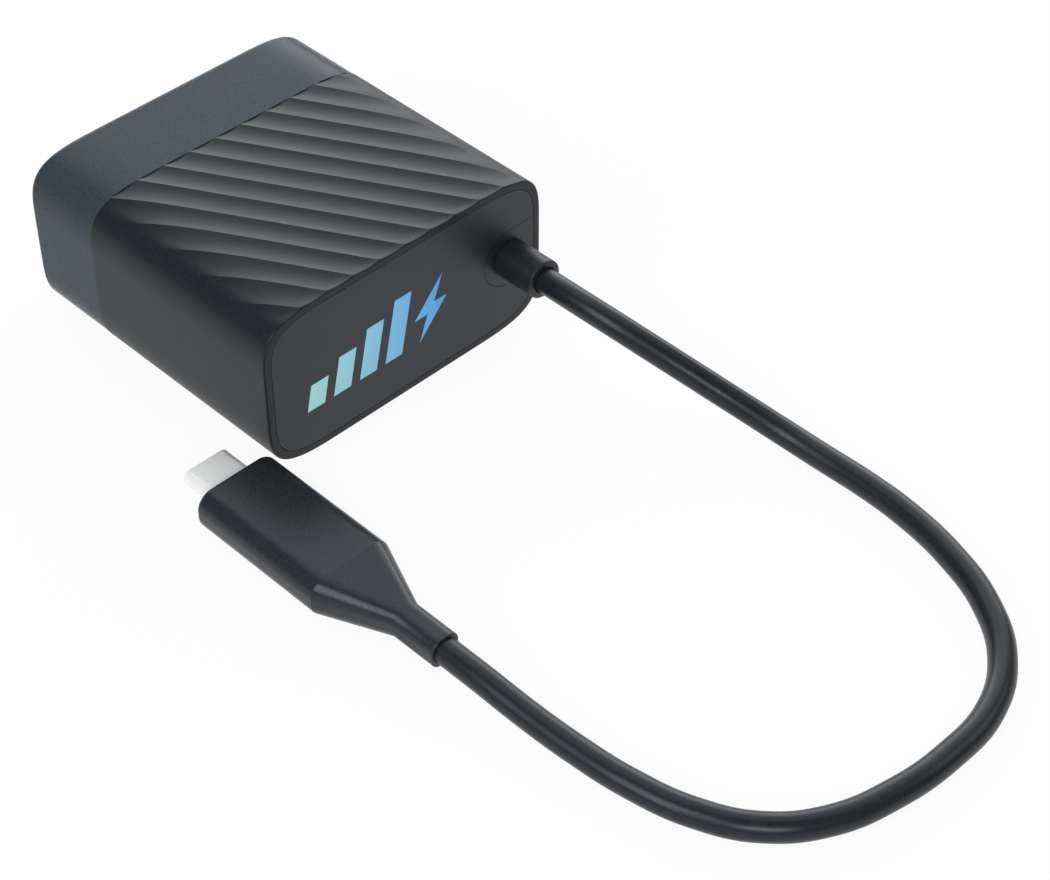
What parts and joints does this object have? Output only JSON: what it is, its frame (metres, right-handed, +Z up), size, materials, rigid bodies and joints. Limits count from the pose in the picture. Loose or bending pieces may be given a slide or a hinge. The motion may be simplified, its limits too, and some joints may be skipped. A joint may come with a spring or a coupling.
{
  "type": "wall power adapter",
  "caption": "Compact wall power adapter: fluted black sleeve, slate rear cap with folding mains blades, flat front panel and a captive lead ending in a reversible oval plug.",
  "frame": {"origin": "middle of the body's underside, on the surface that it stands on", "axes": "+Z up through the body's thickness, +Y from the cable's panel towards the mains side, +X to the right seen from the front"},
  "size_m": [0.077, 0.1636, 0.0284],
  "materials": {
    "black_plastic": "fine satin moulding",
    "slate_plastic": "fine satin moulding",
    "panel_plastic": "fine matt moulding",
    "cable_jacket": "smooth satin",
    "plug_grip": "fine satin moulding",
    "plug_steel": "bright drawn",
    "insert_plastic": "moulded",
    "contact_gold": "gold plated",
    "board_laminate": "solder resist",
    "blade_plate": "nickel plated",
    "screw_steel": "zinc plated",
    "spring_bronze": "rolled",
    "wire_jacket": "smooth",
    "insulating_film": "smooth film",
    "spreader_sheet": "rolled sheet",
    "pad_rubber": "soft matt",
    "ferrite": "sintered",
    "winding_tape": "taped copper winding",
    "copper_wire": "enamelled wire",
    "can_sleeve": "sleeved can",
    "polymer_can": "bare can",
    "film_block": "moulded case",
    "chip_resin": "moulded resin",
    "blue_coat": "dipped coat"
  },
  "bodies": {
    "charger": {"main_shell": "black_plastic", "rear_cap": "slate_plastic", "front_panel": "panel_plastic", "gland_insert": "panel_plastic", "strain_relief": "cable_jacket", "output_cable": "cable_jacket", "plug_overmould": "plug_grip", "plug_shell": "plug_steel", "plug_insert": "insert_plastic", "upper_contacts": "contact_gold", "lower_contacts": "contact_gold", "plug_board": "board_laminate", "rotor_keeper": "black_plastic", "keeper_screw_1": "screw_steel", "keeper_screw_2": "screw_steel", "detent_spring": "spring_bronze", "neutral_contact_spring": "spring_bronze", "live_contact_spring": "spring_bronze", "neutral_lead": "wire_jacket", "live_lead": "wire_jacket", "main_board": "board_laminate", "insulation_sheet": "insulating_film", "lower_heat_spreader": "spreader_sheet", "upper_heat_spreader": "spreader_sheet", "core_thermal_pad": "pad_rubber", "can_thermal_pad": "pad_rubber", "transformer_core": "ferrite", "transformer_winding": "winding_tape", "bulk_capacitor_1": "can_sleeve", "bulk_capacitor_2": "can_sleeve", "bulk_capacitor_3": "can_sleeve", "choke_core": "ferrite", "choke_winding_1": "copper_wire", "choke_winding_2": "copper_wire", "x_capacitor": "film_block", "fuse": "chip_resin", "bridge_rectifier": "chip_resin", "varistor": "blue_coat", "y_capacitor": "blue_coat", "control_board": "board_laminate", "power_switch_1": "chip_resin", "power_switch_2": "chip_resin", "output_board": "board_laminate", "output_capacitor_1": "polymer_can", "output_capacitor_2": "polymer_can", "output_wire_1": "wire_jacket", "output_wire_2": "wire_jacket", "output_wire_3": "wire_jacket", "output_wire_4": "wire_jacket"},
    "folding_plug": {"plug_rotor": "black_plastic", "neutral_blade": "blade_plate", "live_blade": "blade_plate"}
  },
  "joints": [
    {"name": "blade_fold", "type": "hinge", "parent": "charger", "child": "folding_plug", "pos_m": [-0.009, 0.0238, 0.0142], "axis": [0, 0, 1], "range_deg": [0, 90]}
  ]
}
